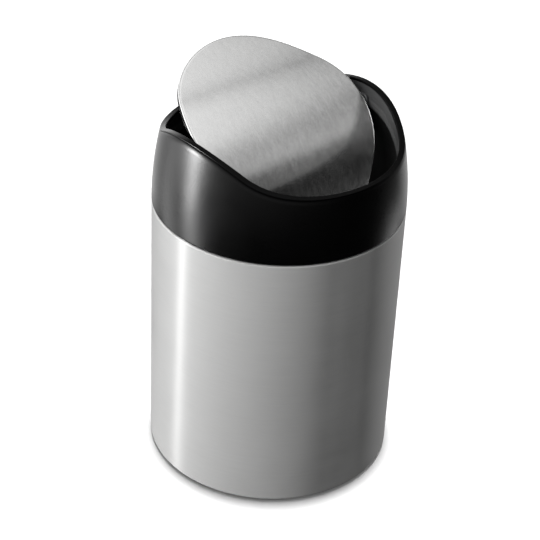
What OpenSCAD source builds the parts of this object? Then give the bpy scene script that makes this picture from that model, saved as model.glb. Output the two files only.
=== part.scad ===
// Countertop bin with a swinging lid.
// Origin: centre of the base on the floor, +Z up, front towards -Y.
// The lid turns about a pin axis along X and is drawn part open, front edge down.

/* [Body] */
// Outer diameter of the steel body
body_d = 124; // [100:1:160]
// Height of the steel body, from its lower bend to the seam
body_h = 139.2; // [115:0.1:180]
// Sheet thickness of the body
body_wall = 0.7; // [0.5:0.05:0.9]
// Outer radius of the bend at the body's foot
foot_bend = 1.5; // [1:0.1:3]
// Width of the turned-in flange under the body
flange_w = 4.5; // [3:0.5:7]
// Outer radius of the rolled hem at the body's mouth
hem_bend = 0.95; // [0.9:0.05:1.4]
// Depth of the hem's inner leg
hem_leg = 6; // [3:0.5:10]

/* [Base] */
// How far the foot ring lifts the steel off the floor
foot_lift = 1.2; // [0.6:0.1:3]
// Thickness of the base pan's floor
pan_floor = 2.2; // [1.5:0.1:4]
// Height of the base pan's upstand inside the steel
pan_upstand = 12; // [6:0.5:20]
// Wall thickness of the base pan's upstand
pan_wall = 1.8; // [1.2:0.1:3]
// Width of the rubber foot ring
foot_w = 5; // [3:0.5:8]
// Number of radial ribs under the base pan
pan_ribs = 12; // [6:1:24]

/* [Bucket] */
// Wall thickness of the inner bucket
bucket_wall = 1.4; // [1:0.1:2.4]
// How much narrower the bucket is at its floor, on the radius
bucket_taper = 2.4; // [0.5:0.1:6]
// Width of the bucket's rim flange
bucket_rim = 2.2; // [1.5:0.1:4]
// Depth of the lip that hangs from the rim flange
bucket_lip = 5; // [3:0.5:10]
// Radius of the two finger recesses in the lip
finger_r = 11; // [8:0.5:16]

/* [Collar] */
// Height of the collar from the seam to the rim's two crests
collar_h = 47.1; // [40:0.1:60]
// Radius of the collar's outer curve, seen from the side
collar_arc = 172; // [120:1:260]
// Wall thickness of the collar
collar_wall = 2.6; // [2:0.1:3.6]
// How far the rim drops from its crests to the front and rear
rim_drop = 14.6; // [8:0.1:18]
// Width of the dark gap at the seam
seam_gap = 0.7; // [0.4:0.05:1]
// Depth of the skirt that plugs into the body
skirt_h = 12; // [9:0.5:20]
// Wall thickness of the skirt
skirt_wall = 2; // [1.4:0.1:3]
// Number of centring ribs on the skirt
skirt_ribs = 16; // [6:1:36]

/* [Throat ring] */
// Depth of the throat ring's upper edge below the rim
ring_depth = 7.6; // [6:0.1:12]
// Wall thickness of the throat ring
ring_wall = 2; // [1.4:0.1:2.6]
// Radius of the two ears that carry the pivot
ear_r = 5; // [4.2:0.1:7]
// How far an ear stands in from the ring's wall
ear_stand = 1.6; // [1:0.1:2.4]
// Number of snap hooks at the ring's foot
hook_n = 4; // [3:1:8]
// Width of a snap hook
hook_w = 9; // [5:0.5:14]

/* [Lid] */
// Height of the pivot axis above the seam
pivot_rise = 38.1; // [34:0.1:46]
// Height of the lid's top above the pivot axis
sheet_rise = 3.2; // [2.9:0.1:4.5]
// How far the lid's top drops from its middle to the front and rear
lid_drop = 12.6; // [6:0.1:15]
// Gap between the lid and the collar's wall at the pivots
lid_side_gap = 2.3; // [1.6:0.1:4]
// Gap between the lid and the rim at the front and rear
lid_end_gap = 1.3; // [1.2:0.1:4]
// Sheet thickness of the lid's steel cover
cover_wall = 0.6; // [0.4:0.05:0.8]
// Depth of the cover's turned-down edge
cover_edge = 2.6; // [1.6:0.1:3.2]
// Half width of the notch in the lid's edge at each pivot
notch_w = 10.5; // [9.5:0.1:14]
// Thickness of the lid base's plate and walls
base_wall = 1.5; // [1:0.1:2.2]
// Depth of the lid base's wall below the cover's edge
base_edge = 1.4; // [0.6:0.1:2]
// How far the lid is turned from closed, front edge down
open_angle = 40; // [0:1:60]

/* [Pivot] */
// Diameter of the pivot pins
pin_d = 3; // [2.4:0.1:3.6]
// Length of the pivot pins
pin_l = 11.4; // [9:0.1:14]
// Radial running clearance of a pin in its bush
pin_play = 0.05; // [0.02:0.01:0.1]
// Wall thickness of a bush
bush_wall = 1; // [0.8:0.1:1.2]
// Radius of the bosses under the lid that hold the pins
boss_r = 4; // [3.4:0.1:5]

/* [Stops] */
// Distance of the stop lugs' upper face below the pivot axis
lug_top = 7; // [6:0.1:9]
// Height of a stop lug
lug_h = 4; // [3:0.1:6]
// Width of a stop lug
lug_w = 2; // [1.6:0.1:2.6]
// Thickness of the rubber buffer on a lug
buffer_wall = 0.8; // [0.5:0.1:1.2]
// Depth of the stop pads under the lid, below the pivot axis
pad_drop = 0.9; // [0.4:0.1:1.2]

/* [Counterweight] */
// Length of the counterweight
weight_l = 46; // [30:1:60]
// Width of the counterweight
weight_w = 9; // [7:0.5:14]
// Height of the counterweight
weight_h = 6; // [4:0.5:10]
// Distance of the counterweight's top below the pivot axis
weight_drop = 4; // [3:0.5:8]
// Distance between the counterweight's two screws
screw_gap = 32; // [20:1:42]
// Shank diameter of the screws
screw_d = 3; // [2:0.1:4]

/* [Hidden] */
$fn = 96;
eps = 0.01;
// Air between parts that lift apart, and between mouldings that are pushed together
lift_air = 0.35;
push_air = 0.15;
rest_air = 0.3;
body_r = body_d / 2;
seam_z = foot_lift + body_h;
steel_top = seam_z - seam_gap / 2;
flange_r = body_r - foot_bend - flange_w;
hem_r = body_r - 2 * hem_bend;
pan_r = body_r - body_wall - push_air;
pan_z = foot_lift + body_wall + push_air;
pan_top = pan_z + pan_floor;
foot_r = flange_r - rest_air - 1.2;
foot_h = foot_lift + 0.4;
skirt_r = hem_r - lift_air;
skirt_in = skirt_r - skirt_wall;
skirt_z = seam_z - skirt_h;
rib_round = 0.7;
rib_stand = lift_air - 0.1;
shoulder_h = 2.6;
rim_z = seam_z + collar_h;
rim_reach = body_r - 4.3;
pivot_z = seam_z + pivot_rise;
rim_low_z = rim_z - rim_drop;
ring_out = skirt_in - push_air;
ring_z = skirt_z + 3;
hook_h = 3.2;
hook_z = ring_z + 1;
hook_out = skirt_r - 0.4;
ear_x = collar_in(pivot_z) - push_air - ring_wall - ear_stand;
lid_half_w = collar_in(rim_z) - lid_side_gap;
lid_half_l = collar_in(rim_low_z) - lid_end_gap;
pin_r = pin_d / 2;
bush_r = pin_r + pin_play + bush_wall;
pin_end = collar_in(pivot_z) - push_air - 0.5;
boss_end = lid_half_w - cover_wall - 0.3;
boss_l = pin_l - (pin_end - boss_end) + 1;
bucket_z = pan_top + rest_air;
bucket_top = skirt_z - 1;
bucket_rim_r = hem_r - 0.8;
bucket_r = bucket_rim_r - bucket_rim;
pad_l = 3.5;
pad_x = boss_end - 2.4;
lug_x = pad_x + 0.5;
screw_head_r = screw_d * 0.9;
screw_head_h = screw_d * 0.6;
rib_wall = 1.4;
rib_depth = 5;

// Outer and inner radius of the collar's wall at height z
function collar_out(z) = body_r - collar_arc + sqrt(collar_arc ^ 2 - (z - seam_z) ^ 2);
function collar_in(z) = body_r - collar_arc + sqrt((collar_arc - collar_wall) ^ 2 - (z - seam_z) ^ 2);
// Radius of the two equal arcs that carry a wave down by drop over reach
function wave_arc(drop, reach) = (reach ^ 2 + drop ^ 2) / (4 * drop);

// Quarter of a flat ring of outer radius r and width w, turned by a
module quarter_ring(r, w, a) {
    rotate(a) intersection() {
        difference() {
            circle(r);
            circle(r - w);
        }
        square(r + 1);
    }
}

// Everything from height low up to a wave: two arcs each way, crest on the axis, troughs at reach
module wave_block(crest, drop, reach, low) {
    arc = wave_arc(drop, reach);
    width = 2.6 * reach;
    rotate([90, 0, 90])
        linear_extrude(width, center = true)
            difference() {
                union() {
                    translate([-width / 2, low]) square([width, crest - drop / 2 - low]);
                    intersection() {
                        translate([0, crest - arc]) circle(arc);
                        translate([-reach / 2, crest - drop / 2 - 1]) square([reach, drop / 2 + 2]);
                    }
                }
                for (side = [-1, 1])
                    translate([side * reach, crest - drop + arc]) circle(arc);
            }
}

// Solid inside the collar's curve, drawn in by inset, from low to high
module collar_core(inset, low, high) {
    rotate_extrude()
        intersection() {
            translate([body_r - collar_arc, seam_z]) circle(collar_arc - inset);
            translate([0, low]) square([body_r, high - low]);
        }
}

// Upright oval column, drawn in by inset from the lid's outline
module lid_oval(inset, low, high) {
    translate([0, 0, low])
        scale([(lid_half_w - inset) / (lid_half_l - inset), 1, 1])
            cylinder(r = lid_half_l - inset, h = high - low);
}

// Copies on both pivot sides
module both_sides() {
    children();
    mirror([1, 0, 0]) children();
}

// Lid parts are drawn closed, about the pivot axis, then turned open
module turn_open() {
    translate([0, 0, pivot_z]) rotate([open_angle, 0, 0]) children();
}

// Everything under the lid's top, lowered by depth
module under_lid(depth) {
    wave_block(sheet_rise - depth, lid_drop, rim_reach, -40);
}

module steel_body() {
    color("silver")
        rotate_extrude() {
            translate([flange_r, foot_lift]) square([flange_w + eps, body_wall]);
            translate([body_r - foot_bend, foot_lift + foot_bend]) quarter_ring(foot_bend, body_wall, -90);
            translate([body_r - body_wall, foot_lift + foot_bend - eps])
                square([body_wall, steel_top - hem_bend - foot_lift - foot_bend + 2 * eps]);
            translate([body_r - hem_bend, steel_top - hem_bend]) {
                quarter_ring(hem_bend, body_wall, 0);
                quarter_ring(hem_bend, body_wall, 90);
            }
            translate([hem_r, steel_top - hem_bend - hem_leg]) square([body_wall, hem_leg + eps]);
        }
}

module base_pan() {
    color("dimgray")
        difference() {
            union() {
                difference() {
                    union() {
                        translate([0, 0, pan_z]) cylinder(r1 = pan_r - foot_bend, r2 = pan_r, h = foot_bend);
                        translate([0, 0, pan_z + foot_bend]) cylinder(r = pan_r, h = pan_upstand - foot_bend);
                    }
                    translate([0, 0, pan_top]) cylinder(r = pan_r - pan_wall, h = pan_upstand);
                }
                translate([0, 0, foot_h - 0.8])
                    difference() {
                        cylinder(r = foot_r + 1.2, h = pan_z - foot_h + 0.8 + eps);
                        translate([0, 0, -1]) cylinder(r = foot_r - foot_w - 1.2, h = pan_z + 2);
                    }
                for (i = [0 : pan_ribs - 1])
                    rotate(i * 360 / pan_ribs)
                        translate([10, -rib_wall / 2, foot_h - 0.4])
                            cube([foot_r - foot_w - 10, rib_wall, pan_z - foot_h + 0.4 + eps]);
            }
            translate([0, 0, foot_h - 2])
                difference() {
                    cylinder(r = foot_r + 0.05, h = 2 + eps);
                    translate([0, 0, -1]) cylinder(r = foot_r - foot_w - 0.05, h = 4);
                }
        }
}

module foot_ring() {
    color("black")
        difference() {
            cylinder(r = foot_r, h = foot_h);
            translate([0, 0, -1]) cylinder(r = foot_r - foot_w, h = foot_h + 2);
        }
}

module inner_bucket() {
    color("gray")
        difference() {
            union() {
                translate([0, 0, bucket_z])
                    cylinder(r1 = bucket_r - bucket_taper, r2 = bucket_r, h = bucket_top - bucket_z);
                translate([0, 0, bucket_top - bucket_wall]) cylinder(r = bucket_rim_r, h = bucket_wall);
                translate([0, 0, bucket_top - bucket_lip])
                    difference() {
                        cylinder(r = bucket_rim_r, h = bucket_lip);
                        translate([0, 0, -1]) cylinder(r = bucket_rim_r - bucket_wall / 2, h = bucket_lip + 2);
                    }
            }
            translate([0, 0, bucket_z + bucket_wall])
                cylinder(r1 = bucket_r - bucket_taper - bucket_wall, r2 = bucket_r - bucket_wall,
                         h = bucket_top - bucket_z - bucket_wall + eps);
            both_sides()
                translate([bucket_r + 0.3, 0, bucket_top - bucket_lip - finger_r * 0.75])
                    rotate([0, 90, 0]) cylinder(r = finger_r, h = bucket_rim + 1);
        }
}

module collar() {
    color("#1b1b1c")
        difference() {
            union() {
                intersection() {
                    difference() {
                        collar_core(0, seam_z + seam_gap / 2, rim_z + 1);
                        collar_core(collar_wall, seam_z - 1, rim_z + 2);
                    }
                    wave_block(rim_z, rim_drop, rim_reach, seam_z - 2);
                }
                translate([0, 0, seam_z + seam_gap / 2])
                    difference() {
                        cylinder(r = collar_out(seam_z + shoulder_h) - 0.8, h = shoulder_h);
                        translate([0, 0, -1]) cylinder(r = skirt_in, h = shoulder_h + 2);
                    }
                translate([0, 0, skirt_z])
                    difference() {
                        union() {
                            cylinder(r = skirt_r, h = skirt_h + shoulder_h);
                            for (i = [0 : skirt_ribs - 1])
                                rotate((i + 0.5) * 360 / skirt_ribs)
                                    translate([skirt_r + rib_stand - rib_round, 0, rib_round])
                                        cylinder(r = rib_round, h = skirt_h - 3 * rib_round, $fn = 24);
                        }
                        translate([0, 0, -1]) cylinder(r = skirt_in, h = skirt_h + shoulder_h + 2);
                    }
            }
            for (i = [0 : hook_n - 1])
                rotate(45 + i * 360 / hook_n)
                    translate([skirt_in - 1, -hook_w / 2 - 0.5, hook_z - 0.4])
                        cube([skirt_wall + 2, hook_w + 1, hook_h + 0.8]);
        }
}

module throat_ring() {
    color("#262627")
        difference() {
            union() {
                intersection() {
                    union() {
                        difference() {
                            intersection() {
                                wave_block(rim_z - ring_depth, rim_drop, rim_reach, ring_z - 1);
                                translate([0, 0, ring_z - 2]) cylinder(r = ring_out, h = rim_z);
                            }
                            intersection() {
                                collar_core(collar_wall + push_air + ring_wall, ring_z - 2, rim_z + 1);
                                translate([0, 0, ring_z - 3]) cylinder(r = ring_out - ring_wall, h = rim_z);
                            }
                        }
                        both_sides() {
                            translate([ear_x, 0, pivot_z]) rotate([0, 90, 0]) cylinder(r = ear_r, h = 12);
                            translate([lug_x, -lug_w / 2, pivot_z - lug_top - lug_h]) cube([9, lug_w, lug_h]);
                        }
                    }
                    collar_core(collar_wall + push_air, ring_z, rim_z);
                }
                for (i = [0 : hook_n - 1])
                    rotate(45 + i * 360 / hook_n)
                        translate([ring_out - ring_wall / 2, hook_w / 2, hook_z])
                            rotate([90, 0, 0])
                                linear_extrude(hook_w)
                                    polygon([[0, 0], [hook_out - ring_out + ring_wall / 2, 0],
                                             [ring_wall / 2, hook_h], [0, hook_h]]);
            }
            both_sides()
                translate([ear_x - 1, 0, pivot_z]) rotate([0, 90, 0]) cylinder(r = bush_r, h = 14);
        }
}

module pivot_bushes() {
    color("ivory")
        both_sides()
            translate([ear_x, 0, pivot_z])
                rotate([0, 90, 0])
                    difference() {
                        cylinder(r = bush_r, h = ring_wall + ear_stand - 0.6);
                        translate([0, 0, -1]) cylinder(r = pin_r + pin_play, h = ring_wall + ear_stand + 2);
                    }
}

module stop_buffers() {
    color("black")
        both_sides()
            translate([lug_x - buffer_wall, 0, pivot_z - lug_top - lug_h / 2])
                difference() {
                    translate([0, -lug_w / 2 - buffer_wall, -lug_h / 2 - buffer_wall])
                        cube([buffer_wall + 2.6, lug_w + 2 * buffer_wall, lug_h + 2 * buffer_wall]);
                    translate([buffer_wall, -lug_w / 2, -lug_h / 2]) cube([4, lug_w, lug_h]);
                }
}

module lid_cover() {
    color("lightgray")
        turn_open() {
            intersection() {
                lid_oval(0, -30, 10);
                difference() {
                    under_lid(0);
                    under_lid(cover_wall);
                }
            }
            difference() {
                intersection() {
                    lid_oval(0, -30, 10);
                    difference() {
                        under_lid(cover_wall / 2);
                        under_lid(cover_edge);
                    }
                }
                lid_oval(cover_wall, -32, 12);
                both_sides()
                    translate([lid_half_w - 12, -notch_w, -20]) cube([14, 2 * notch_w, 20 + sheet_rise - 1.4]);
            }
        }
}

module lid_base() {
    inset = cover_wall + push_air;
    color("#202021")
        turn_open()
            difference() {
                union() {
                    intersection() {
                        lid_oval(inset, -40, 10);
                        difference() {
                            under_lid(cover_wall + push_air);
                            under_lid(cover_wall + push_air + base_wall);
                        }
                    }
                    difference() {
                        intersection() {
                            lid_oval(inset, -40, 10);
                            difference() {
                                under_lid(cover_wall + push_air);
                                under_lid(cover_edge + base_edge);
                            }
                        }
                        lid_oval(inset + base_wall, -42, 12);
                        both_sides() translate([lid_half_w - 14, -notch_w, -30]) cube([20, 2 * notch_w, 29 + sheet_rise]);
                    }
                    intersection() {
                        union() {
                            both_sides() {
                                translate([boss_end - boss_l, 0, 0]) rotate([0, 90, 0]) cylinder(r = boss_r, h = boss_l);
                                translate([pad_x, -lug_top - pad_l, -pad_drop]) cube([boss_end - pad_x - 0.6, pad_l, 4]);
                                translate([pad_x, lug_top, -pad_drop]) cube([boss_end - pad_x - 0.6, pad_l, 4]);
                                translate([weight_l / 2 + 2, -rib_wall / 2, -boss_r])
                                    cube([boss_end - boss_l - weight_l / 2, rib_wall, 8]);
                                translate([screw_gap / 2, 0, -weight_drop]) cylinder(r = screw_d, h = 8);
                            }
                            for (y = [-1, 1])
                                translate([-weight_l / 2 - 10, y * (weight_w / 2 + rib_wall) - rib_wall / 2, -rib_depth])
                                    cube([weight_l + 20, rib_wall, rib_depth + 4]);
                        }
                        under_lid(cover_wall + push_air + eps);
                        lid_oval(inset + 0.05, -40, 10);
                    }
                    intersection() {
                        union() {
                            for (x = [-1, 1])
                                translate([x * lid_half_w * 0.45 - rib_wall / 2, -lid_half_l, -30])
                                    cube([rib_wall, 2 * lid_half_l, 40]);
                            for (y = [-1, 1])
                                translate([-lid_half_w, y * lid_half_l * 0.5 - rib_wall / 2, -30])
                                    cube([2 * lid_half_w, rib_wall, 40]);
                        }
                        difference() {
                            under_lid(cover_wall + push_air + eps);
                            under_lid(cover_edge + base_edge);
                            translate([-weight_l / 2 - 0.5, -weight_w / 2 - 0.5, -40])
                                cube([weight_l + 1, weight_w + 1, 40 - weight_drop]);
                        }
                        lid_oval(inset + base_wall / 2, -40, 10);
                    }
                }
                both_sides() {
                    translate([boss_end - boss_l - 1, 0, 0]) rotate([0, 90, 0]) cylinder(r = pin_r, h = boss_l + 4);
                    translate([screw_gap / 2, 0, -weight_drop - 1])
                        cylinder(r = screw_d / 2, h = weight_drop + sheet_rise - cover_wall);
                }
            }
}

module pivot_pin() {
    turn_open() translate([pin_end - pin_l, 0, 0]) rotate([0, 90, 0]) cylinder(r = pin_r, h = pin_l);
}

module pivot_pin_left() {
    color("silver") mirror([1, 0, 0]) pivot_pin();
}

module pivot_pin_right() {
    color("silver") pivot_pin();
}

module counterweight() {
    color("slategray")
        turn_open()
            difference() {
                translate([-weight_l / 2, -weight_w / 2, -weight_drop - weight_h]) cube([weight_l, weight_w, weight_h]);
                both_sides()
                    translate([screw_gap / 2, 0, -weight_drop - weight_h - 1])
                        cylinder(r = screw_d / 2 + 0.15, h = weight_h + 2);
            }
}

module weight_screws() {
    color("silver")
        turn_open()
            both_sides()
                translate([screw_gap / 2, 0, -weight_drop - weight_h]) {
                    cylinder(r = screw_d / 2, h = weight_h + weight_drop);
                    difference() {
                        translate([0, 0, -screw_head_h]) cylinder(r = screw_head_r, h = screw_head_h);
                        for (a = [0, 90])
                            rotate(a)
                                translate([-screw_d * 0.5, -0.3, -screw_head_h - 1]) cube([screw_d, 0.6, 1.9]);
                    }
                }
}

steel_body();
base_pan();
foot_ring();
inner_bucket();
collar();
throat_ring();
pivot_bushes();
stop_buffers();
lid_cover();
lid_base();
pivot_pin_left();
pivot_pin_right();
counterweight();
weight_screws();
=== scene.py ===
import math

import bmesh
import bpy
from mathutils import Matrix, Vector


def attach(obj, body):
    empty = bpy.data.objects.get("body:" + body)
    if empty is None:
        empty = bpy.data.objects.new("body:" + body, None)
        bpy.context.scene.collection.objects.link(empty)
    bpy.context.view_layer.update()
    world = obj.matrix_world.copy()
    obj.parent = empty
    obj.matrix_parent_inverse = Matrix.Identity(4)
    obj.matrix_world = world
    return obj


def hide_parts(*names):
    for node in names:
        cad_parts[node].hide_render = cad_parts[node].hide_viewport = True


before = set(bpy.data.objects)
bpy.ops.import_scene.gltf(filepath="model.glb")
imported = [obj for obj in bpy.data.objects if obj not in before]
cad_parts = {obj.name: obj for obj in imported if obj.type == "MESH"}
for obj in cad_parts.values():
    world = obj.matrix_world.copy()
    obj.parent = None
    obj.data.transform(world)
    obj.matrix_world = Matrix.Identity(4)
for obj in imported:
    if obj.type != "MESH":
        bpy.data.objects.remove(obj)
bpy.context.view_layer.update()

# Sizes of the CAD part, in millimetres: origin at the middle of the base, front towards -Y
MM = 0.001
BODY_R = 61.985
BODY_WALL = 0.7
FOOT_Z = 1.2
SEAM_Z = 140.4
SEAM_GAP = 0.7
STEEL_TOP = SEAM_Z - SEAM_GAP / 2
HEM = 0.95
HEM_LEG = 6.0
COLLAR_ARC = 172.0
COLLAR_WALL = 2.6
RIM_Z = 187.5
RIM_DROP = 14.6
REACH = 57.7
SKIRT_R = 59.75
SKIRT_IN = 57.75
SKIRT_Z = 128.4
PIVOT_Z = 178.5
OPEN_ANGLE = math.radians(40)
LID_X = 50.42
LID_Y = 54.95
SHEET_RISE = 3.2
LID_DROP = 12.6
RING_DEPTH = 7.6
STEPS = 288
TURN = 2 * math.pi


# Shapes

def arc_of(drop, reach=REACH):
    return (reach * reach + drop * drop) / (4 * drop)


def wave(y, crest, drop, reach=REACH):
    """Height of the two-arc wave at distance y from the pivot plane."""
    arc = arc_of(drop, reach)
    y = abs(y)
    if y < reach / 2:
        return crest - arc + math.sqrt(arc * arc - y * y)
    away = reach - y
    return crest - drop + arc - math.sqrt(arc * arc - away * away)


def collar_r(z):
    """Outer radius of the collar at height z."""
    return BODY_R - COLLAR_ARC + math.sqrt(COLLAR_ARC ** 2 - (z - SEAM_Z) ** 2)


def collar_in(z, inset=COLLAR_WALL):
    return BODY_R - COLLAR_ARC + math.sqrt((COLLAR_ARC - inset) ** 2 - (z - SEAM_Z) ** 2)


def fillet(corners, closed=True, seg=5):
    """Rounds a 2-D outline of (x, y, radius) corners."""
    out = []
    n = len(corners)
    for i, (x, y, r) in enumerate(corners):
        if r <= 0 or (not closed and i in (0, n - 1)):
            out.append((x, y))
            continue
        p = Vector((x, y))
        a = Vector(corners[i - 1][:2]) - p
        b = Vector(corners[(i + 1) % n][:2]) - p
        half = a.angle(b) / 2
        cut = min(r / math.tan(half), a.length * 0.499, b.length * 0.499)
        r = cut * math.tan(half)
        a.normalize()
        b.normalize()
        mid = p + (a + b).normalized() * (r / math.sin(half))
        start, end = p + a * cut, p + b * cut
        # Even spacing along the arc
        total = math.pi - 2 * half
        for k in range(seg + 1):
            t = k / seg
            u = math.sin((1 - t) * total) / math.sin(total) if total > 1e-4 else 1 - t
            v = math.sin(t * total) / math.sin(total) if total > 1e-4 else t
            spoke = (start - mid) * u + (end - mid) * v
            out.append(tuple(mid + spoke))
    return out


def new_object(name, mesh):
    ob = bpy.data.objects.new(name, mesh)
    bpy.context.scene.collection.objects.link(ob)
    return ob


def finish_mesh(ob, sharp=35):
    """Clean normals, smooth shading with sharp corners kept."""
    me = ob.data
    bm = bmesh.new()
    bm.from_mesh(me)
    bmesh.ops.remove_doubles(bm, verts=bm.verts, dist=1e-7)
    bmesh.ops.recalc_face_normals(bm, faces=bm.faces)
    bm.to_mesh(me)
    bm.free()
    me.polygons.foreach_set("use_smooth", [True] * len(me.polygons))
    me.set_sharp_from_angle(angle=math.radians(sharp))
    me.update()
    return ob


def from_rows(name, rows, wrap_rows=True, wrap_cols=True, caps=False, sharp=35):
    """A mesh of quads over rows of points, in millimetres."""
    n, m = len(rows), len(rows[0])
    verts = [tuple(c * MM for c in p) for row in rows for p in row]
    faces = []
    for i in range(n if wrap_rows else n - 1):
        for j in range(m if wrap_cols else m - 1):
            a, b = i * m + j, i * m + (j + 1) % m
            c, d = ((i + 1) % n) * m + (j + 1) % m, ((i + 1) % n) * m + j
            faces.append((a, b, c, d))
    if caps:
        for i, turn in ((0, 1), (n - 1, -1)):
            ring = [i * m + j for j in range(m)][::turn]
            faces.append(tuple(ring))
    mesh = bpy.data.meshes.new(name)
    mesh.from_pydata(verts, [], faces)
    return finish_mesh(new_object(name, mesh), sharp)


def lathe(name, profile, steps=STEPS, place=None, sharp=35):
    """Turns an outline of (radius, height) about Z. Points at radius 0 close it."""
    rows = []
    for i in range(steps):
        a = TURN * i / steps
        rows.append([(r * math.cos(a), r * math.sin(a), z) for r, z in profile])
    ob = from_rows(name, rows, sharp=sharp)
    if place:
        ob.data.transform(Matrix.Translation(Vector(place[0]) * MM) @ place[1])
    return ob


def boolean(ob, others, operation):
    """Joins other closed meshes to this one, or cuts them from it, and removes them."""
    for other in others:
        mod = ob.modifiers.new("cut", "BOOLEAN")
        mod.operation = operation
        mod.solver = "EXACT"
        mod.object = other
    graph = bpy.context.evaluated_depsgraph_get()
    mesh = bpy.data.meshes.new_from_object(ob.evaluated_get(graph))
    ob.modifiers.clear()
    ob.data = mesh
    for other in others:
        bpy.data.objects.remove(other)
    mesh.polygons.foreach_set("use_smooth", [True] * len(mesh.polygons))
    mesh.set_sharp_from_angle(angle=math.radians(35))
    return ob


def merge(first, others):
    """Puts other meshes into this one as they are, and removes their objects."""
    bm = bmesh.new()
    for ob in [first] + others:
        bm.from_mesh(ob.data)
    bm.to_mesh(first.data)
    bm.free()
    for ob in others:
        bpy.data.objects.remove(ob)
    return finish_mesh(first)


def moved(ob, x, y, z):
    ob.data.transform(Matrix.Translation(Vector((x, y, z)) * MM))
    return ob


def block(name, low, high, spin=0.0, round_by=0.0):
    """A box between two corners, with rounded edges, turned about Z."""
    mesh = bpy.data.meshes.new(name)
    bm = bmesh.new()
    bmesh.ops.create_cube(bm, size=1)
    size = [high[i] - low[i] for i in range(3)]
    mid = [(high[i] + low[i]) / 2 for i in range(3)]
    for v in bm.verts:
        v.co = Vector([v.co[i] * size[i] + mid[i] for i in range(3)])
    if round_by:
        bmesh.ops.bevel(bm, geom=bm.edges, offset=round_by, segments=3, affect="EDGES", profile=0.5)
    bmesh.ops.rotate(bm, verts=bm.verts, matrix=Matrix.Rotation(spin, 3, "Z"))
    for v in bm.verts:
        v.co *= MM
    bm.to_mesh(mesh)
    bm.free()
    return finish_mesh(new_object(name, mesh))


LID_TURN = Matrix.Translation((0, 0, PIVOT_Z * MM)) @ Matrix.Rotation(OPEN_ANGLE, 4, "X")


def open_lid(ob):
    """Lid pieces are built closed about the pivot axis, then turned open."""
    ob.data.transform(LID_TURN)
    ob.data.update()
    return ob


# Materials

def new_material(name):
    mat = bpy.data.materials.new(name)
    mat.use_nodes = True
    nodes, links = mat.node_tree.nodes, mat.node_tree.links
    return mat, nodes, links, nodes["Principled BSDF"]


def maths(nodes, links, operation, *given):
    """A math node over sockets and plain numbers."""
    node = nodes.new("ShaderNodeMath")
    node.operation = operation
    for slot, value in zip(node.inputs, given):
        if isinstance(value, (int, float)):
            slot.default_value = value
        else:
            links.new(value, slot)
    return node.outputs[0]


def noise_over(nodes, links, scale, detail=2.0, rough=0.5):
    """A noise texture over stretched object coordinates."""
    coord = nodes.new("ShaderNodeTexCoord")
    mapping = nodes.new("ShaderNodeMapping")
    mapping.inputs["Scale"].default_value = scale
    links.new(coord.outputs["Object"], mapping.inputs["Vector"])
    noise = nodes.new("ShaderNodeTexNoise")
    noise.inputs["Scale"].default_value = 1.0
    noise.inputs["Detail"].default_value = detail
    noise.inputs["Roughness"].default_value = rough
    links.new(mapping.outputs["Vector"], noise.inputs["Vector"])
    return noise.outputs["Fac"]


def ranged(nodes, links, source, low, high, in_low=0.0, in_high=1.0):
    node = nodes.new("ShaderNodeMapRange")
    node.inputs["From Min"].default_value = in_low
    node.inputs["From Max"].default_value = in_high
    node.inputs["To Min"].default_value = low
    node.inputs["To Max"].default_value = high
    links.new(source, node.inputs["Value"])
    return node.outputs["Result"]


def grey_ramp(nodes, links, source, stops):
    ramp = nodes.new("ShaderNodeValToRGB")
    els = ramp.color_ramp.elements
    while len(els) < len(stops):
        els.new(0.5)
    for el, (at, colour) in zip(els, stops):
        el.position = at
        el.color = (*colour, 1)
    links.new(source, ramp.inputs["Fac"])
    return ramp.outputs["Color"]


def add_bump(nodes, links, shader, height, strength, distance):
    bump = nodes.new("ShaderNodeBump")
    bump.inputs["Strength"].default_value = strength
    bump.inputs["Distance"].default_value = distance
    links.new(height, bump.inputs["Height"])
    links.new(bump.outputs["Normal"], shader.inputs["Normal"])


# Depth of the grain in the steel and of the spark texture in the plastic, in metres
GRAIN_DEPTH = 0.00005
SPARK_DEPTH = 0.00004


def brushed_steel(name, grain, base, rough, aniso, spin, tangent, streak=0.05, depth=0.06):
    """Satin sheet: fine grain in one direction, a little cloudy."""
    mat, nodes, links, shader = new_material(name)
    shader.inputs["Metallic"].default_value = 1.0
    fine = noise_over(nodes, links, grain, 3.0, 0.6)
    coarse = noise_over(nodes, links, [g * 0.23 for g in grain])
    cloud = noise_over(nodes, links, (28, 28, 28), 3.0)
    lines = maths(nodes, links, "MULTIPLY_ADD", fine, 0.6, ranged(nodes, links, coarse, 0.0, 0.4))
    dark = [c * (1 - streak) for c in base]
    light = [min(1, c * (1 + streak)) for c in base]
    tone = grey_ramp(nodes, links, lines, [(0.3, dark), (0.5, base), (0.7, light)])
    links.new(tone, shader.inputs["Base Color"])
    gloss = maths(nodes, links, "ADD", ranged(nodes, links, lines, rough - 0.05, rough + 0.05, 0.2, 0.8),
                  ranged(nodes, links, cloud, -0.02, 0.02, 0.3, 0.7))
    links.new(gloss, shader.inputs["Roughness"])
    add_bump(nodes, links, shader, lines, depth, GRAIN_DEPTH)
    shader.inputs["Anisotropic"].default_value = aniso
    shader.inputs["Anisotropic Rotation"].default_value = spin
    along = nodes.new("ShaderNodeTangent")
    if tangent == "uv":
        along.direction_type = "UV_MAP"
        along.uv_map = "grain"
    else:
        along.direction_type = "RADIAL"
        along.axis = tangent
    links.new(along.outputs["Tangent"], shader.inputs["Tangent"])
    return mat


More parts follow.
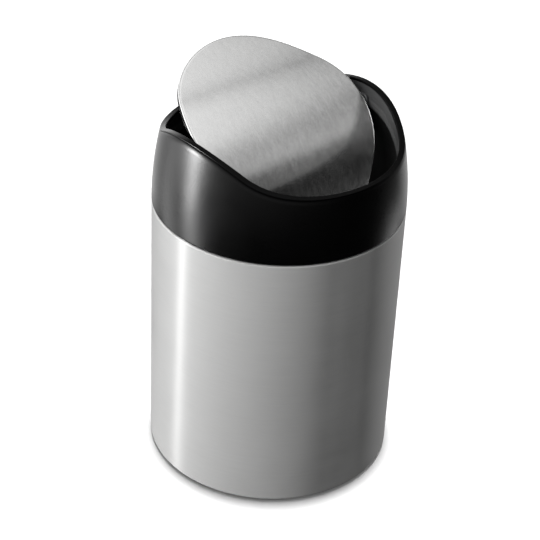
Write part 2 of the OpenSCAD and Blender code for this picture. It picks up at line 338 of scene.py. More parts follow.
def moulded_plastic(name, base, rough, texture=3200.0, depth=0.25, specular=0.5):
    """Moulded plastic with a fine spark texture and slow changes of gloss."""
    mat, nodes, links, shader = new_material(name)
    spark = noise_over(nodes, links, (texture, texture, texture), 2.0, 0.6)
    cloud = noise_over(nodes, links, (35, 35, 35), 3.0, 0.55)
    tone = grey_ramp(nodes, links, cloud, [
        (0.3, [c * 0.9 for c in base]), (0.7, [min(1, c * 1.12) for c in base])])
    links.new(tone, shader.inputs["Base Color"])
    gloss = maths(nodes, links, "ADD", ranged(nodes, links, spark, rough - 0.03, rough + 0.03, 0.3, 0.7),
                  ranged(nodes, links, cloud, -0.03, 0.03, 0.3, 0.7))
    links.new(gloss, shader.inputs["Roughness"])
    add_bump(nodes, links, shader, spark, depth, SPARK_DEPTH)
    shader.inputs["Specular IOR Level"].default_value = specular
    return mat


STEEL = (0.66, 0.66, 0.655)
mat_body = brushed_steel("body_steel", (150, 150, 3500), STEEL, 0.43, 1.0, 0.25, "Z", 0.03)
mat_lid = brushed_steel("lid_steel", (2100, 750, 750), STEEL, 0.21, 0.7, 0.0, "uv", 0.1, 0.08)
mat_collar = moulded_plastic("collar_plastic", (0.0008, 0.0008, 0.00085), 0.30, specular=0.06)
mat_throat = moulded_plastic("throat_plastic", (0.0015, 0.0015, 0.0016), 0.45, specular=0.06)
# A lighter copy of the throat plastic: its lighter colour is painted light for the lit band above the chamfer
mat_painted_light_band = moulded_plastic("throat_painted_light", (0.035, 0.036, 0.037), 0.36)
mat_bucket = moulded_plastic("bucket_plastic", (0.022, 0.022, 0.0225), 0.45)
mat_base = moulded_plastic("base_plastic", (0.02, 0.02, 0.0205), 0.5)
mat_rubber = moulded_plastic("foot_rubber", (0.018, 0.018, 0.018), 0.75, 1500.0, 0.5, 0.3)
mat_acetal = moulded_plastic("bush_acetal", (0.72, 0.71, 0.67), 0.35)
mat_pin = brushed_steel("pin_steel", (9000, 300, 300), (0.55, 0.55, 0.55), 0.25, 0.0, 0.0, "Z")
mat_weight = brushed_steel("weight_zinc", (700, 700, 700), (0.42, 0.43, 0.45), 0.42, 0.0, 0.0, "Z")


def dress(ob, material):
    ob.data.materials.clear()
    ob.data.materials.append(material)
    return ob


def ready(ob, material, body, node):
    """Gives a piece its material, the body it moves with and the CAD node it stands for."""
    dress(ob, material)
    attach(ob, body)
    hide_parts(node)
    return ob


# Steel body

FOOT_IN = 56.0


def steel_profile():
    outer = [(FOOT_IN, FOOT_Z, 0), (BODY_R, FOOT_Z, 1.5), (BODY_R, STEEL_TOP, HEM),
             (BODY_R - 2 * HEM, STEEL_TOP, HEM), (BODY_R - 2 * HEM, STEEL_TOP - HEM - HEM_LEG, 0.2),
             (BODY_R - 2 * HEM + BODY_WALL, STEEL_TOP - HEM - HEM_LEG, 0.2),
             (BODY_R - 2 * HEM + BODY_WALL, STEEL_TOP - BODY_WALL, HEM - BODY_WALL),
             (BODY_R - BODY_WALL, STEEL_TOP - BODY_WALL, HEM - BODY_WALL),
             (BODY_R - BODY_WALL, FOOT_Z + BODY_WALL, 0.8), (FOOT_IN, FOOT_Z + BODY_WALL, 0)]
    return fillet(outer, seg=6)


body = lathe("steel_body_sheet", steel_profile(), 360)
ready(body, mat_body, "bin_body", "steel_body")


# Collar

RIM_ROUND = 0.3
GROOVE_DEPTH = 0.45
GROOVE_LOW = 1.0
GROOVE_TOP = 0.4
RIDGE = 2.9
RIDGE_ROUND = 0.35


def collar_rows():
    """One closed outline of the collar's section per step round the axis."""
    rows = []
    low = SEAM_Z + SEAM_GAP / 2
    for i in range(STEPS):
        a = TURN * i / STEPS
        ca, sa = math.cos(a), math.sin(a)
        row = []

        def put(r, z):
            row.append((r * ca, r * sa, z))

        # Where the outer wall meets the wave
        z = RIM_Z - 5
        for _ in range(12):
            z = wave(collar_r(z) * sa, RIM_Z, RIM_DROP)
        top_r = collar_r(z)

        def rim(inset, down):
            r = top_r - inset
            put(r, wave(r * sa, RIM_Z, RIM_DROP) - down)

        # Lower edge, rounded, then up the outer wall
        for k in range(6):
            t = math.pi / 2 * k / 5
            put(collar_r(low + 0.55) - 0.55 + 0.55 * math.sin(t), low + 0.55 - 0.55 * math.cos(t))
        start, end = low + 1.2, z - GROOVE_LOW - 0.5
        for k in range(22):
            h = start + (end - start) * k / 21
            put(collar_r(h), h)
        for inset, down in ((0.02, GROOVE_LOW), (0.1, GROOVE_LOW - 0.1), (GROOVE_DEPTH, GROOVE_LOW - 0.12),
                            (GROOVE_DEPTH, GROOVE_TOP + 0.04), (0.12, GROOVE_TOP)):
            rim(inset, down)
        for k in range(7):
            t = math.pi / 2 * k / 6
            rim(RIM_ROUND * (1 - math.cos(t)), RIM_ROUND * (1 - math.sin(t)))
        for inset in (1.0, 1.5, 2.0, RIDGE - RIDGE_ROUND - 0.15):
            rim(inset, 0)
        for k in range(6):
            t = math.pi / 2 * k / 5
            rim(RIDGE - RIDGE_ROUND + RIDGE_ROUND * math.sin(t), RIDGE_ROUND * (1 - math.cos(t)))
        # Down the inner wall, in to the skirt
        top_in = wave((top_r - RIDGE) * sa, RIM_Z, RIM_DROP) - 1.0
        lift = top_r - RIDGE - collar_in(top_in)
        for k in range(18):
            h = top_in + (SEAM_Z + 4.2 - top_in) * k / 17
            put(collar_in(h) + lift * max(0, 1 - k / 3), h)
        shoulder = SEAM_Z + SEAM_GAP / 2 + 2.6
        put(collar_in(shoulder) - 0.4, shoulder)
        put(SKIRT_IN + 0.3, shoulder)
        put(SKIRT_IN, shoulder - 0.3)
        for h in (SEAM_Z - 2, SEAM_Z - 7):
            put(SKIRT_IN, h)
        put(SKIRT_IN, SKIRT_Z + 0.4)
        put(SKIRT_IN + 0.4, SKIRT_Z)
        put(SKIRT_R - 0.9, SKIRT_Z)
        put(SKIRT_R, SKIRT_Z + 1.2)
        for h in (SEAM_Z - 7, SEAM_Z - 2):
            put(SKIRT_R, h)
        put(SKIRT_R, low)
        put(collar_r(low + 0.55) - 0.8, low)
        rows.append(row)
    return rows


collar = from_rows("collar_shell", collar_rows(), sharp=30)
windows = [block("window", (SKIRT_IN - 1, -5, 131.9), (SKIRT_R + 1, 5, 136.1),
                 math.radians(45 + 90 * k), 0.4) for k in range(4)]
boolean(collar, windows, "DIFFERENCE")
ribs = []
for k in range(16):
    a = TURN * (k + 0.5) / 16
    rib = lathe("rib", [(0, 129.1), (0.5, 129.1), (0.7, 129.4), (0.7, 138.7), (0.5, 139), (0, 139)], 24)
    ribs.append(moved(rib, 59.3 * math.cos(a), 59.3 * math.sin(a), 0))
boolean(collar, ribs, "UNION")
ready(collar, mat_collar, "collar", "collar")


# Throat ring

RING_WALL = 2.0
RING_CHAMFER = 3.7
FUNNEL_TOP = 1.3
FUNNEL_END = 0.3
FUNNEL_SIDE = 1.7
RING_LOW = 131.4
EAR_X = 51.31
EAR_R = 3.7
BUSH_R = 2.55
EAR_LIP = 0.4
LIP_R = 1.75
EAR_TOP = 2.85
LUG_X = 47.62
# The hook's outline, as radius and height, and half its width
HOOK = [(56.3, 132.4), (59.35, 132.4), (59.35, 132.7), (57.6, 135.6), (56.3, 135.6)]
HOOK_HALF = 4.5
# Air between the ring and the collar
RING_GAP = 0.15
RING_SKIRT = SKIRT_IN - RING_GAP
# Faces further out than this radius and above the chamfer's foot take the painted light copy of the plastic
PAINTED_LIGHT_MIN_R = 49


def ring_out(z):
    """Outer radius of the ring at height z, just clear of the collar."""
    return collar_in(z) - RING_GAP


def ring_rows():
    """One closed outline of the ring's section per step round the axis."""
    rows = []
    for i in range(STEPS):
        a = TURN * i / STEPS
        ca, sa = math.cos(a), math.sin(a)
        row = []

        def put(r, z):
            row.append((r * ca, r * sa, z))

        top = RIM_Z - 5 - RING_DEPTH
        for _ in range(12):
            top = wave(ring_out(top) * sa, RIM_Z, RIM_DROP) - RING_DEPTH
        skirt_top = SEAM_Z + 3.2
        outs = [(RING_SKIRT - 0.3, RING_LOW), (RING_SKIRT, RING_LOW + 0.3),
                (RING_SKIRT, SEAM_Z - 4), (RING_SKIRT, skirt_top)]
        for r, h in outs:
            put(min(r, ring_out(h)), h)
        for k in range(1, 15):
            h = skirt_top + (top - 0.3 - skirt_top) * k / 14
            put(min(RING_SKIRT, ring_out(h)), h)
        # Up behind the rim's ridge, down the funnel to the crease, then the chamfer
        rim_z = RIM_Z - 5
        for _ in range(12):
            rim_z = wave(collar_r(rim_z) * sa, RIM_Z, RIM_DROP)
        lip = collar_r(rim_z) - RIDGE - 0.02
        high = rim_z - FUNNEL_TOP
        for k in range(1, 6):
            h = top - 0.3 + (high - 0.2 - top + 0.3) * k / 5
            put(ring_out(h), h)
        start = min(collar_in(high) - 0.2, lip)
        put(start, high)
        crease = ring_out(top) - FUNNEL_END - FUNNEL_SIDE * ca * ca
        for k in range(1, 10):
            t = k / 9
            put(start + (crease - start) * (t + 0.12 * math.sin(math.pi * t)), high + (top - high) * t)
        foot = top - RING_CHAMFER
        inner = min(ring_out(foot) - RING_WALL, crease - 0.35)
        for k in range(1, 8):
            t = k / 8
            put(crease - 0.08 + (inner + 0.06 - crease) * t, top - 0.12 - (RING_CHAMFER - 0.4) * t)
        for k in range(15):
            h = foot - 0.3 + (SEAM_Z + 3.2 - foot + 0.3) * k / 14
            put(min(ring_out(h), RING_SKIRT, inner + RING_WALL + (foot - h)) - RING_WALL, h)
        put(RING_SKIRT - RING_WALL, SEAM_Z - 4)
        put(RING_SKIRT - RING_WALL, RING_LOW + 0.3)
        put(RING_SKIRT + 0.3 - RING_WALL, RING_LOW)
        rows.append(row)
    return rows


def ear(side):
    """Round ear for a pivot, from its face out to the collar's wall."""
    rows = []
    steps = 64
    for inset, x in ((0.5, EAR_X), (0.15, EAR_X + 0.13), (0.0, EAR_X + 0.5), (0.0, None)):
        row = []
        for j in range(steps):
            t = TURN * j / steps
            y, up = (EAR_R - inset) * math.cos(t), (EAR_R - inset) * math.sin(t)
            z = PIVOT_Z + min(up, EAR_TOP - inset)
            out = math.sqrt((collar_in(z) - 0.2) ** 2 - y * y)
            row.append((side * (x if x is not None else out), y, z))
        rows.append(row)
    return from_rows("ear", rows, wrap_rows=False, caps=True)


def tube(name, radius, x0, x1, steps=64):
    rows = [[(x, radius * math.cos(TURN * j / steps), PIVOT_Z + radius * math.sin(TURN * j / steps))
             for j in range(steps)] for x in (x0, x1)]
    return from_rows(name, rows, wrap_rows=False, caps=True)


ring = from_rows("throat_ring_wall", ring_rows(), sharp=30)
lug_z = PIVOT_Z - 7
extras = [ear(1), ear(-1)]
for side in (1, -1):
    xs = sorted((side * LUG_X, side * 55.6))
    extras.append(block("lug", (xs[0], -1, lug_z - 4), (xs[1], 1, lug_z), 0, 0.25))
for k in range(4):
    hook_rows = [[(x, y, z) for x, z in HOOK] for y in (-HOOK_HALF, HOOK_HALF)]
    hook = from_rows("hook", hook_rows, wrap_rows=False, caps=True)
    hook.data.transform(Matrix.Rotation(math.radians(45 + 90 * k), 4, "Z"))
    extras.append(hook)
boolean(ring, extras, "UNION")
boolean(ring, [tube("bore", BUSH_R, EAR_X + EAR_LIP, 57), tube("bore", BUSH_R, -57, -EAR_X - EAR_LIP),
               tube("mouth", LIP_R, 50, 53), tube("mouth", LIP_R, -53, -50)], "DIFFERENCE")
ready(ring, mat_throat, "collar", "throat_ring")
# The faces above the chamfer's foot get a lighter, slightly smoother copy of the plastic: its lighter colour is
# painted light, for the light this band catches
ring.data.materials.append(mat_painted_light_band)
for face in ring.data.polygons:
    x, y, z = (c / MM for c in face.center)
    if z > wave(y, RIM_Z, RIM_DROP) - RING_DEPTH - RING_CHAMFER and math.hypot(x, y) > PAINTED_LIGHT_MIN_R:
        face.material_index = 1
# The lid would mirror the lit edge as a bright streak that the photo doesn't show
ring.visible_glossy = False


# Lid

ROLL = 0.95
EDGE_DEPTH = 4.0
EDGE_TAPER = 0.75
COVER_WALL = 0.6
NOTCH_Y = 10.5
NOTCH_DEPTH = 1.35
CROWN = 0.6


def outline(a, inset):
    """Point of the lid's oval at angle a, drawn in by inset along its normal."""
    x, y = LID_X * math.cos(a), LID_Y * math.sin(a)
    n = Vector((math.cos(a) / LID_X, math.sin(a) / LID_Y)).normalized()
    return x - n.x * inset, y - n.y * inset


def sheet_top(x, y):
    """Height of the sheet's top: the wave, with a slight crown that dies out at the edge."""
    inside = max(0.0, 1 - (x / LID_X) ** 2 - (y / LID_Y) ** 2)
    return wave(y, SHEET_RISE, LID_DROP) + CROWN * inside


def edge_depth(y):
    """How far the turned-down edge reaches: shallow in the notch at each pivot."""
    t = (abs(y) - NOTCH_Y + 1.2) / 2.4
    t = max(0.0, min(1.0, t))
    t = t * t * (3 - 2 * t)
    return NOTCH_DEPTH + (EDGE_DEPTH - NOTCH_DEPTH) * t


def cover_rows():
    rows = []
    steps = STEPS * 2
    for i in range(steps):
        a = TURN * i / steps
        row = []

        def put(inset, down):
            x, y = outline(a, inset)
            row.append((x, y, sheet_top(x, y) - down))

        def disc(s, down):
            x, y = outline(a, ROLL + 0.4)
            x, y = x * s, y * s
            row.append((x, y, sheet_top(x, y) - down))

        rings = [0.02] + [k / 30 for k in range(1, 31)]
        for s in rings:
            disc(s, 0)
        for k in range(9):
            t = math.pi / 2 * k / 8
            put(ROLL * (1 - math.sin(t)), ROLL * (1 - math.cos(t)))
        deep = edge_depth(outline(a, 0)[1])
        lean = EDGE_TAPER * (deep - ROLL) / (EDGE_DEPTH - ROLL)
        for k in range(1, 9):
            t = k / 8
            put(lean * t, ROLL + (deep - ROLL - 0.1) * t)
        put(lean + 0.12, deep)
        put(lean + COVER_WALL - 0.12, deep)
        for k in range(8, 0, -1):
            t = k / 8
            put(COVER_WALL + lean * t, ROLL + (deep - ROLL - 0.1) * t)
        for k in range(8, -1, -1):
            t = math.pi / 2 * k / 8
            inner = ROLL - COVER_WALL
            put(COVER_WALL + inner * (1 - math.sin(t)), COVER_WALL + inner * (1 - math.cos(t)))
        for s in reversed(rings):
            disc(s, COVER_WALL)
        rows.append(row)
    return rows


def uv_from_plan(ob):
    """UV map along X and Y, in metres times ten, for the direction of the grain."""
    layer = ob.data.uv_layers.new(name="grain")
    for loop in ob.data.loops:
        co = ob.data.vertices[loop.vertex_index].co
        layer.data[loop.index].uv = (co.x * 10, co.y * 10)


def close_pole(ob):
    """Fills the small holes in the middle of the sheet."""
    bm = bmesh.new()
    bm.from_mesh(ob.data)
    bmesh.ops.holes_fill(bm, edges=[e for e in bm.edges if e.is_boundary], sides=0)
    bmesh.ops.recalc_face_normals(bm, faces=bm.faces)
    bm.to_mesh(ob.data)
    bm.free()
    ob.data.polygons.foreach_set("use_smooth", [True] * len(ob.data.polygons))
    return ob


cover = close_pole(from_rows("lid_cover_sheet", cover_rows(), wrap_cols=False, sharp=35))
uv_from_plan(cover)
ready(open_lid(cover), mat_lid, "lid", "lid_cover")


# Moulding under the lid

BASE_INSET = 0.75
BASE_WALL = 1.5
BASE_DEPTH = 4.0
BOSS_R = 4.0
BOSS_X = (42.01, 49.52)
PIN_R = 1.5
PAD_X = (47.12, 48.92)
PAD_Y = (7.0, 10.5)
PAD_Z = -0.9
WEIGHT = (23.0, 4.5, -10.0, -4.0)
SCREW_X = 16.0
RIB = 0.7


def base_top(y):
    return wave(y, SHEET_RISE, LID_DROP) - BASE_INSET


def base_rows():
    rows = []
    for i in range(STEPS):
        a = TURN * i / STEPS
        row = []

        def put(inset, down, scale=1.0):
            x, y = outline(a, inset)
            row.append((x * scale, y * scale, base_top(y * scale) - down))

        rings = [0.02] + [k / 12 for k in range(1, 12)]
        for s in rings:
            put(BASE_INSET + 0.5, 0, s)
        put(BASE_INSET + 0.4, 0)
        put(BASE_INSET + 0.1, 0.1)
        put(BASE_INSET, 0.4)
        y = outline(a, BASE_INSET)[1]
        t = max(0.0, min(1.0, (abs(y) - NOTCH_Y + 0.4) / 0.8))
        deep = BASE_WALL + (BASE_DEPTH - BASE_INSET - BASE_WALL) * t * t * (3 - 2 * t)
        put(BASE_INSET, deep - 0.3)
        put(BASE_INSET + 0.25, deep)
        put(BASE_INSET + BASE_WALL - 0.2, deep)
        put(BASE_INSET + BASE_WALL, deep - 0.1 - 0.1 * t)
        put(BASE_INSET + BASE_WALL + 0.01, BASE_WALL + 0.35 * t)
        put(BASE_INSET + BASE_WALL + 0.3, BASE_WALL)
        for s in reversed(rings):
            put(BASE_INSET + BASE_WALL + 0.5, BASE_WALL, s)
        rows.append(row)
    return rows


def long_rib(x):
    """A rib from front to rear that follows the plate's underside."""
    rows = []
    reach = LID_Y * math.sqrt(1 - (x / LID_X) ** 2) - 1.6
    for k in range(49):
        y = reach * (k / 24 - 1)
        high, low = base_top(y) - 0.6, base_top(y) + BASE_INSET - BASE_DEPTH
        rows.append([(x - RIB, y, high), (x - RIB, y, low + 0.2), (x - RIB + 0.2, y, low),
                     (x + RIB - 0.2, y, low), (x + RIB, y, low + 0.2), (x + RIB, y, high)])
    return from_rows("rib", rows, wrap_rows=False, caps=True)


ALONG_X = Matrix.Rotation(math.radians(90), 4, "Y")


def turned(name, profile, z=0.0, steps=64):
    """Turns an outline of (radius, x) about a level axis along X, z above the origin."""
    return lathe(name, profile, steps, ((0, 0, z), ALONG_X))


def mirrored(ob, name):
    copy = new_object(name, ob.data.copy())
    copy.data.transform(Matrix.Scale(-1, 4, (1, 0, 0)))
    return finish_mesh(copy)


lid_moulding = close_pole(from_rows("lid_base_moulding", base_rows(), wrap_cols=False))
half = []
half.append(turned("boss", fillet([(0, BOSS_X[0], 0), (BOSS_R, BOSS_X[0], 0.4), (BOSS_R, BOSS_X[1], 0.3),
                                   (0, BOSS_X[1], 0)])))
boolean(half[0], [block("above", (BOSS_X[0] - 1, -6, 2.2), (BOSS_X[1] + 1, 6, 8))], "DIFFERENCE")
for y0, y1 in ((-PAD_Y[1], -PAD_Y[0]), PAD_Y):
    half.append(block("pad", (PAD_X[0], y0, PAD_Z), (PAD_X[1], y1, 1.9), 0, 0.2))
half.append(block("web", (25, -RIB, -BOSS_R), (44, RIB, 1.9), 0, 0.2))
post = lathe("post", fillet([(0, -4, 0), (3, -4, 0.4), (3, 1.9, 0), (0, 1.9, 0)]), 48)
half.append(moved(post, SCREW_X, 0, 0))
half.append(long_rib(LID_X * 0.45))
parts = half + [mirrored(ob, "half") for ob in half]
for side in (-1, 1):
    y = side * (WEIGHT[1] + 2 * RIB)
    parts.append(block("cheek", (-33, y - RIB, -5), (33, y + RIB, 1.9), 0, 0.2))
    y = side * LID_Y / 2
    reach = LID_X * math.sqrt(1 - 0.25) - 1.6
    parts.append(block("cross", (-reach, y - RIB, base_top(y) + BASE_INSET - BASE_DEPTH),
                       (reach, y + RIB, base_top(y) - 0.6), 0, 0.2))
boolean(lid_moulding, parts, "UNION")
bore = turned("bore", [(0, BOSS_X[0] - 1), (PIN_R, BOSS_X[0] - 1), (PIN_R, 52), (0, 52)])
hole = moved(lathe("hole", [(0, -5), (PIN_R, -5), (PIN_R, 1.6), (0, 1.6)], 48), SCREW_X, 0, 0)
boolean(lid_moulding, [bore, hole, mirrored(bore, "bore"), mirrored(hole, "hole")], "DIFFERENCE")
ready(open_lid(lid_moulding), mat_throat, "lid", "lid_base")


# Pivot, weight and stops

PIN_X = (43.01, 54.41)
EAR_DEPTH = 3.0
BUSH_BORE = 1.55
WEIGHT_BORE = 1.65
HEAD_R = 2.7
HEAD_H = 1.8


def pin(name):
    x0, x1 = PIN_X
    return turned(name, [(0, x0), (1.1, x0), (1.38, x0 + 0.1), (PIN_R, x0 + 0.35), (PIN_R, x0 + 2.8),
                         (1.36, x0 + 3.0), (1.36, x0 + 3.7), (PIN_R, x0 + 3.9), (PIN_R, x1 - 0.35),
                         (1.38, x1 - 0.1), (1.1, x1), (0, x1)])


right_pin = pin("pin_right")
left_pin = mirrored(right_pin, "pin_left")
ready(open_lid(right_pin), mat_pin, "lid", "pivot_pin_right")
ready(open_lid(left_pin), mat_pin, "lid", "pivot_pin_left")

bush = turned("bush_pair", [(BUSH_BORE + 0.25, EAR_X + EAR_LIP), (BUSH_R, EAR_X + EAR_LIP),
                            (BUSH_R, EAR_X + EAR_DEPTH - 0.2), (BUSH_R - 0.2, EAR_X + EAR_DEPTH),
                            (BUSH_BORE + 0.15, EAR_X + EAR_DEPTH), (BUSH_BORE, EAR_X + EAR_DEPTH - 0.15),
                            (BUSH_BORE, EAR_X + EAR_LIP + 0.25)], PIVOT_Z)
merge(bush, [mirrored(bush, "bush")])
ready(bush, mat_acetal, "collar", "pivot_bushes")

buffer = block("buffer_pair", (LUG_X - 0.8, -1.8, PIVOT_Z - 11.8), (LUG_X + 2.6, 1.8, PIVOT_Z - 6.2),
               0, 0.45)
boolean(buffer, [block("pocket", (LUG_X, -1, PIVOT_Z - 11), (LUG_X + 4, 1, PIVOT_Z - 7))], "DIFFERENCE")
merge(buffer, [mirrored(buffer, "buffer")])
ready(buffer, mat_rubber, "collar", "stop_buffers")

half_x, half_y, low_z, high_z = WEIGHT
weight = block("weight_bar", (-half_x, -half_y, low_z), (half_x, half_y, high_z), 0, 0.7)
bore_rows = [(0, low_z - 1), (WEIGHT_BORE, low_z - 1), (WEIGHT_BORE, high_z + 1), (0, high_z + 1)]
bore = moved(lathe("bore", bore_rows, 48), SCREW_X, 0, 0)
boolean(weight, [bore, mirrored(bore, "bore")], "DIFFERENCE")
ready(open_lid(weight), mat_weight, "lid", "counterweight")

screw = lathe("screw_pair", fillet([
    (0, low_z - HEAD_H, 0), (HEAD_R, low_z - HEAD_H, 0.9), (HEAD_R, low_z, 0.15), (PIN_R, low_z, 0.1),
    (PIN_R, 0, 0.5), (0, 0, 0)]), 64)
boolean(screw, [block("slot", (-1.5, -0.3, low_z - 3), (1.5, 0.3, low_z - 0.9), math.radians(a), 0.08)
                for a in (0, 90)], "DIFFERENCE")
moved(screw, SCREW_X, 0, 0)
merge(screw, [mirrored(screw, "screw")])
ready(open_lid(screw), mat_pin, "lid", "weight_screws")


# Base, foot ring and bucket

PAN_R = 61.15
PAN_WALL = 1.8
PAN_Z = 2.05
PAN_TOP = 4.25
PAN_UP = 14.05
PAN_RIBS = 12
FOOT_R = (49.5, 54.5)
FOOT_H = 1.6
BUCKET_Z = 4.55
BUCKET_TOP = 127.4
BUCKET_RIM = 59.3
BUCKET_R = 57.1
BUCKET_TAPER = 2.4
BUCKET_WALL = 1.4
FINGER_R = 11.0

pocket_in, pocket_out = FOOT_R[0] - 0.05, FOOT_R[1] + 0.05
pan = lathe("base_pan_moulding", fillet([
    (0, PAN_TOP, 0), (PAN_R - PAN_WALL, PAN_TOP, 0.9), (PAN_R - PAN_WALL, PAN_UP, 0.4), (PAN_R, PAN_UP, 0.4),
    (PAN_R, PAN_Z + 1.5, 0.6), (PAN_R - 1.5, PAN_Z, 0.4), (pocket_out + 1.15, PAN_Z, 0.15),
    (pocket_out + 1.15, 0.8, 0.3), (pocket_out, 0.8, 0.15), (pocket_out, FOOT_H + 0.01, 0),
    (pocket_in, FOOT_H + 0.01, 0), (pocket_in, 0.8, 0.15), (pocket_in - 1.15, 0.8, 0.3),
    (pocket_in - 1.15, PAN_Z, 0.3), (0, PAN_Z, 0)]))
webs = [block("web", (10, -RIB, 1.2), (48.8, RIB, 2.4), TURN * k / PAN_RIBS, 0.2)
        for k in range(PAN_RIBS)]
webs.append(lathe("hub", fillet([(9.2, 1.2, 0.2), (10.8, 1.2, 0.2), (10.8, 2.4, 0), (9.2, 2.4, 0)]), 96))
boolean(pan, webs, "UNION")
ready(pan, mat_base, "bin_body", "base_pan")

grooves = []
for r in (51.2, 52.8):
    grooves += [(r - 0.3, 0, 0.1), (r - 0.15, 0.35, 0.1), (r + 0.15, 0.35, 0.1), (r + 0.3, 0, 0.1)]
foot = lathe("foot_ring_rubber", fillet([(FOOT_R[0], 0, 0.45)] + grooves + [
    (FOOT_R[1], 0, 0.45), (FOOT_R[1], FOOT_H, 0.15), (FOOT_R[0], FOOT_H, 0.15)]))
ready(foot, mat_rubber, "bin_body", "foot_ring")

low_r = BUCKET_R - BUCKET_TAPER
bucket = lathe("bucket_moulding", fillet([
    (0, BUCKET_Z + BUCKET_WALL, 0), (low_r - BUCKET_WALL, BUCKET_Z + BUCKET_WALL, 3.5),
    (BUCKET_R - BUCKET_WALL, BUCKET_TOP, 1.0), (BUCKET_RIM, BUCKET_TOP, 0.6), (BUCKET_RIM, BUCKET_TOP - 5, 0.3),
    (BUCKET_RIM - 0.7, BUCKET_TOP - 5, 0.3), (BUCKET_RIM - 0.7, BUCKET_TOP - BUCKET_WALL, 0.3),
    (BUCKET_R, BUCKET_TOP - BUCKET_WALL, 0.6), (low_r, BUCKET_Z, 4.6), (0, BUCKET_Z, 0)]))
finger = turned("finger", [(0, BUCKET_R + 0.3), (FINGER_R, BUCKET_R + 0.3), (FINGER_R, BUCKET_RIM + 2),
                           (0, BUCKET_RIM + 2)], BUCKET_TOP - 5 - FINGER_R * 0.75)
boolean(bucket, [finger, mirrored(finger, "finger")], "DIFFERENCE")
ready(bucket, mat_bucket, "inner_bucket", "inner_bucket")


# Stage

# Half the floor's width, in metres
FLOOR_HALF = 6


def studio_floor():
    mesh = bpy.data.meshes.new("floor")
    bm = bmesh.new()
    bmesh.ops.create_grid(bm, x_segments=1, y_segments=1, size=FLOOR_HALF)
    bm.to_mesh(mesh)
    bm.free()
    floor = new_object("floor", mesh)
    mat, _, _, shader = new_material("floor_white")
    shader.inputs["Base Color"].default_value = (0.95, 0.95, 0.95, 1)
    shader.inputs["Roughness"].default_value = 1.0
    shader.inputs["Specular IOR Level"].default_value = 0.0
    dress(floor, mat)
    floor.visible_glossy = False
    floor.visible_shadow = False
    return floor


CAM_AZ = math.radians(-42)
CAM_ELEV = math.radians(34.41)
CAM_TILT = math.radians(-1.567)
CAM_PAN = math.radians(0.191)
CAM_ROLL = math.radians(2.915)
# In metres
CAM_DISTANCE = 0.83967
AIM_HEIGHT = 0.0708
# In pixels of the photo
FOCAL_LENGTH = 1648.5
PHOTO_WIDTH = 540


def make_camera():
    """The photograph's camera, found from the outline of the bin."""
    place = Vector((0, 0, AIM_HEIGHT)) + CAM_DISTANCE * Vector((0, -math.cos(CAM_ELEV), math.sin(CAM_ELEV)))
    back = Vector((0, -math.cos(CAM_ELEV + CAM_TILT), math.sin(CAM_ELEV + CAM_TILT)))
    up = Vector((0, math.sin(CAM_ELEV + CAM_TILT), math.cos(CAM_ELEV + CAM_TILT)))
    right = Vector((1, 0, 0))
    side, turned_in = math.cos(CAM_PAN), math.sin(CAM_PAN)
    back, right = back * side + right * turned_in, right * side - back * turned_in
    side, turned_in = math.cos(CAM_ROLL), math.sin(CAM_ROLL)
    right, up = right * side + up * turned_in, up * side - right * turned_in
    turn = Matrix.Rotation(CAM_AZ, 4, "Z")
    basis = Matrix((right, up, back)).transposed().to_4x4()
    data = bpy.data.cameras.new("camera")
    data.sensor_fit = "AUTO"
    data.sensor_width = 36
    data.lens = data.sensor_width * FOCAL_LENGTH / PHOTO_WIDTH
    data.clip_start = 0.01
    camera = new_object("camera", data)
    camera.matrix_world = turn @ Matrix.Translation(place) @ basis
    bpy.context.scene.camera = camera


SOFTBOX_DISTANCE = 1.2
SOFTBOX_AIM = (0, 0, 0.09)


def softbox(name, around, elev, size, radiance, dist=SOFTBOX_DISTANCE, floor=False, aim=SOFTBOX_AIM):
    """A square light aimed at the bin. around is 0 towards the camera and positive to its right."""
    a = CAM_AZ + math.radians(around)
    e = math.radians(elev)
    way = Vector((math.sin(a) * math.cos(e), -math.cos(a) * math.cos(e), math.sin(e)))
    data = bpy.data.lights.new(name, "AREA")
    data.shape = "RECTANGLE"
    data.size, data.size_y = size
    data.energy = radiance * math.pi * size[0] * size[1]
    light = new_object(name, data)
    turn = (-way).to_track_quat("-Z", "Y").to_matrix().to_4x4()
    light.matrix_world = Matrix.Translation(Vector(aim) + way * dist) @ turn
    light.visible_camera = False
    light.visible_diffuse = floor
    return light


def surround_stops(level, lamps):
    """Greys of one band of the surround, in even steps all the way round."""
    stops = []
    for k in range(SURROUND_STEPS + 1):
        share = k / SURROUND_STEPS
        seen = level
        for centre, narrow, bright in lamps:
            away = TURN * (share - 0.5) - math.radians(centre)
            seen += bright * ((1 + math.cos(away)) / 2) ** narrow
        stops.append((share, [max(0, seen) / SURROUND_GAIN] * 3))
    return stops


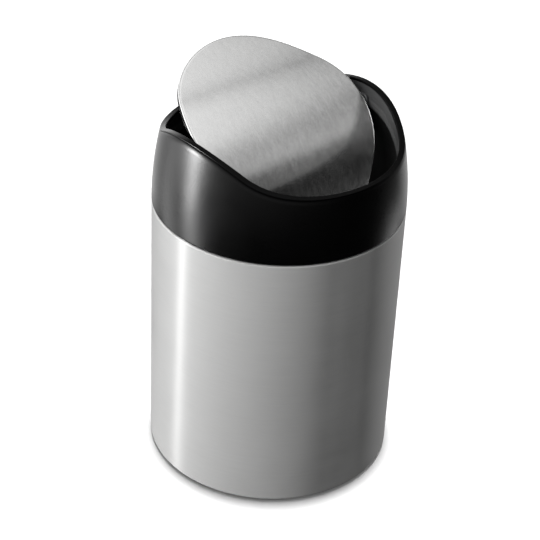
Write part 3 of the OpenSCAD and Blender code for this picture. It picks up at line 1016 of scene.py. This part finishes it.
def world_light():
    """White for the camera, even soft light on matt surfaces, and the surround for reflections."""
    world = bpy.data.worlds.new("studio")
    bpy.context.scene.world = world
    world.use_nodes = True
    nodes, links = world.node_tree.nodes, world.node_tree.links
    nodes.clear()
    out = nodes.new("ShaderNodeOutputWorld")
    coord = nodes.new("ShaderNodeTexCoord")
    turn = nodes.new("ShaderNodeVectorRotate")
    turn.rotation_type = "Z_AXIS"
    turn.inputs["Angle"].default_value = -CAM_AZ
    links.new(coord.outputs["Generated"], turn.inputs["Vector"])
    split = nodes.new("ShaderNodeSeparateXYZ")
    links.new(turn.outputs["Vector"], split.inputs["Vector"])
    x, y, z = split.outputs
    angle = maths(nodes, links, "ARCTAN2", x, maths(nodes, links, "MULTIPLY", y, -1))
    # 0.5 towards the camera, 0 straight away on the left, 1 straight away on the right
    share = ranged(nodes, links, angle, 0, 1, -math.pi, math.pi)
    rise = maths(nodes, links, "ARCSINE", z)
    total = None
    heights = [math.radians(band[0]) for band in SURROUND]
    for i, (_, level, lamps) in enumerate(SURROUND):
        tone = grey_ramp(nodes, links, share, surround_stops(level, lamps))
        weight = ranged(nodes, links, rise, 0, 1, heights[i - 1] if i else SURROUND_FOOT, heights[i])
        if i < len(heights) - 1:
            down = ranged(nodes, links, rise, 1, 0, heights[i], heights[i + 1])
            weight = maths(nodes, links, "MULTIPLY", weight, down)
        part = nodes.new("ShaderNodeVectorMath")
        part.operation = "SCALE"
        links.new(tone, part.inputs[0])
        links.new(weight, part.inputs["Scale"])
        if total is None:
            total = part.outputs[0]
        else:
            add = nodes.new("ShaderNodeVectorMath")
            links.new(total, add.inputs[0])
            links.new(part.outputs[0], add.inputs[1])
            total = add.outputs[0]
    glossy = nodes.new("ShaderNodeBackground")
    glossy.inputs["Strength"].default_value = SURROUND_GAIN
    links.new(total, glossy.inputs["Color"])
    white = nodes.new("ShaderNodeBackground")
    white.inputs["Color"].default_value = (1, 1, 1, 1)
    path = nodes.new("ShaderNodeLightPath")
    links.new(ranged(nodes, links, path.outputs["Is Camera Ray"], FILL, BACKDROP), white.inputs["Strength"])
    mix = nodes.new("ShaderNodeMixShader")
    links.new(path.outputs["Is Glossy Ray"], mix.inputs["Fac"])
    links.new(white.outputs["Background"], mix.inputs[1])
    links.new(glossy.outputs["Background"], mix.inputs[2])
    links.new(mix.outputs["Shader"], out.inputs["Surface"])


# The white behind the bin, and the soft light from all sides on surfaces that don't mirror
BACKDROP = 1.1
FILL = 0.35
# Seen in reflections only, in bands of height above the horizon in degrees. A band has an even
# level and wide lamps, each with its angle from the camera, how narrow it is and how bright.
# A lamp below zero is a dark screen.
SURROUND_GAIN = 4.1
SURROUND_STEPS = 24
# The height in radians at which the lowest band has faded out
SURROUND_FOOT = -0.35
SURROUND = [
    (5, 1.05, [(-85, 4, 2.9), (-20, 8, 1.0), (68, 14, -1.25)]),
    (26, 0, [(-85, 4, 1.65), (-10, 8, 0.5), (135, 10, 0.22)]),
    (30, 0, [(-80, 3, 0.85), (-5, 8, 0.2), (88, 10, 0.44)]),
    (42, 0.68, [(-108, 6, 0.6), (130, 8, -0.75)]),
    (60, 1.55, [(-48, 1.5, -1.02), (130, 20, -0.24)]),
    (82, 1.22, [])]


def only_on(light, piece, through=False):
    """Lets a light reach one piece only, and through the others if asked."""
    group = bpy.data.collections.new(light.name)
    group.objects.link(piece)
    light.light_linking.receiver_collection = group
    if through:
        light.light_linking.blocker_collection = group


floor = studio_floor()
only_on(softbox("floor_light", 180, 88.3, (2.1, 2.1), 680, 30, True, (0, 0, 0)), floor)
only_on(softbox("collar_strip_high", -82, 6, (0.24, 0.3), 370), collar)
only_on(softbox("collar_strip_middle", -80, -10, (0.2, 0.3), 115), collar)
only_on(softbox("collar_strip_low", -80, -26, (0.24, 0.3), 36), collar)
only_on(softbox("collar_left", -146, -8, (1.1, 0.9), 1.7), collar)
only_on(softbox("collar_left_low", -110, -18, (0.4, 0.7), 5.5), collar)
only_on(softbox("collar_right", 152, -8, (0.9, 0.9), 1.3), collar)
only_on(softbox("collar_right_low", 122, -31, (0.42, 0.3), 3), collar)
only_on(softbox("body_strip", -83, 10, (0.1, 0.5), 7.5), body)
only_on(softbox("body_right", 68, 8, (0.7, 0.8), 0.22), body)
only_on(softbox("ring_light", -80, 42, (1.0, 1.0), 60), ring)
only_on(softbox("lid_edge_light", 126, 8, (0.35, 0.5), 20), cover, True)
only_on(softbox("lid_low_light", 85, 6, (2.2, 0.9), 0.055), cover, True)
make_camera()
world_light()
bpy.context.scene.view_settings.view_transform = "Standard"
